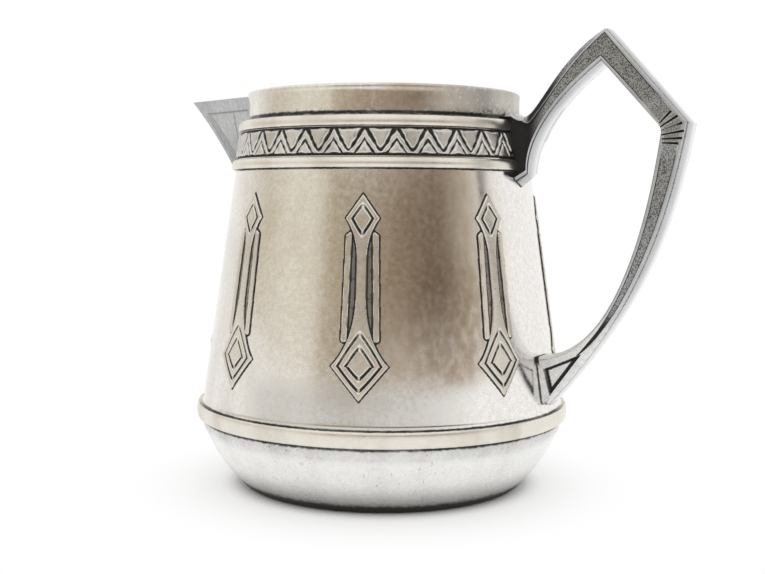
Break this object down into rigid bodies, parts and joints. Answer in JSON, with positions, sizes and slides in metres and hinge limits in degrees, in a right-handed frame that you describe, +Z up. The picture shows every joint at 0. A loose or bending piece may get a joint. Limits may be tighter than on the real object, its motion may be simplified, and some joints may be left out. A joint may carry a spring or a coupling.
{
  "type": "milk jug",
  "caption": "Small tapered metal milk jug with a V spout, an angular handle, a chevron frieze and raised ornaments.",
  "frame": {"origin": "centre of the flat base disc, on the surface that the jug stands on", "axes": "+Z up along the jug's axis, +X from the axis towards the handle, -X towards the spout"},
  "size_m": [0.1382, 0.094, 0.11],
  "materials": {
    "bowl_metal": "satin plated metal, bright silver with fine dark specks",
    "band_metal": "polished plated metal, warm tone",
    "wall_metal": "satin plated metal with a warm brown patina",
    "frieze_metal": "bright relief over a blackened ground",
    "spout_metal": "satin plated metal, neutral grey",
    "handle_metal": "cast metal, bright borders and grey stippled panels",
    "ornament_metal": "bright relief over a blackened ground, warm tone"
  },
  "bodies": {
    "root": {"base_bowl": "bowl_metal", "base_band": "band_metal", "barrel": "wall_metal", "lower_bead": "band_metal", "frieze_strip": "frieze_metal", "upper_bead": "band_metal", "collar": "wall_metal", "spout": "spout_metal", "handle": "handle_metal", "ornament_1": "ornament_metal", "ornament_2": "ornament_metal", "ornament_3": "ornament_metal", "ornament_4": "ornament_metal", "ornament_5": "ornament_metal", "ornament_6": "ornament_metal", "ornament_7": "ornament_metal", "ornament_8": "ornament_metal"}
  },
  "joints": []
}
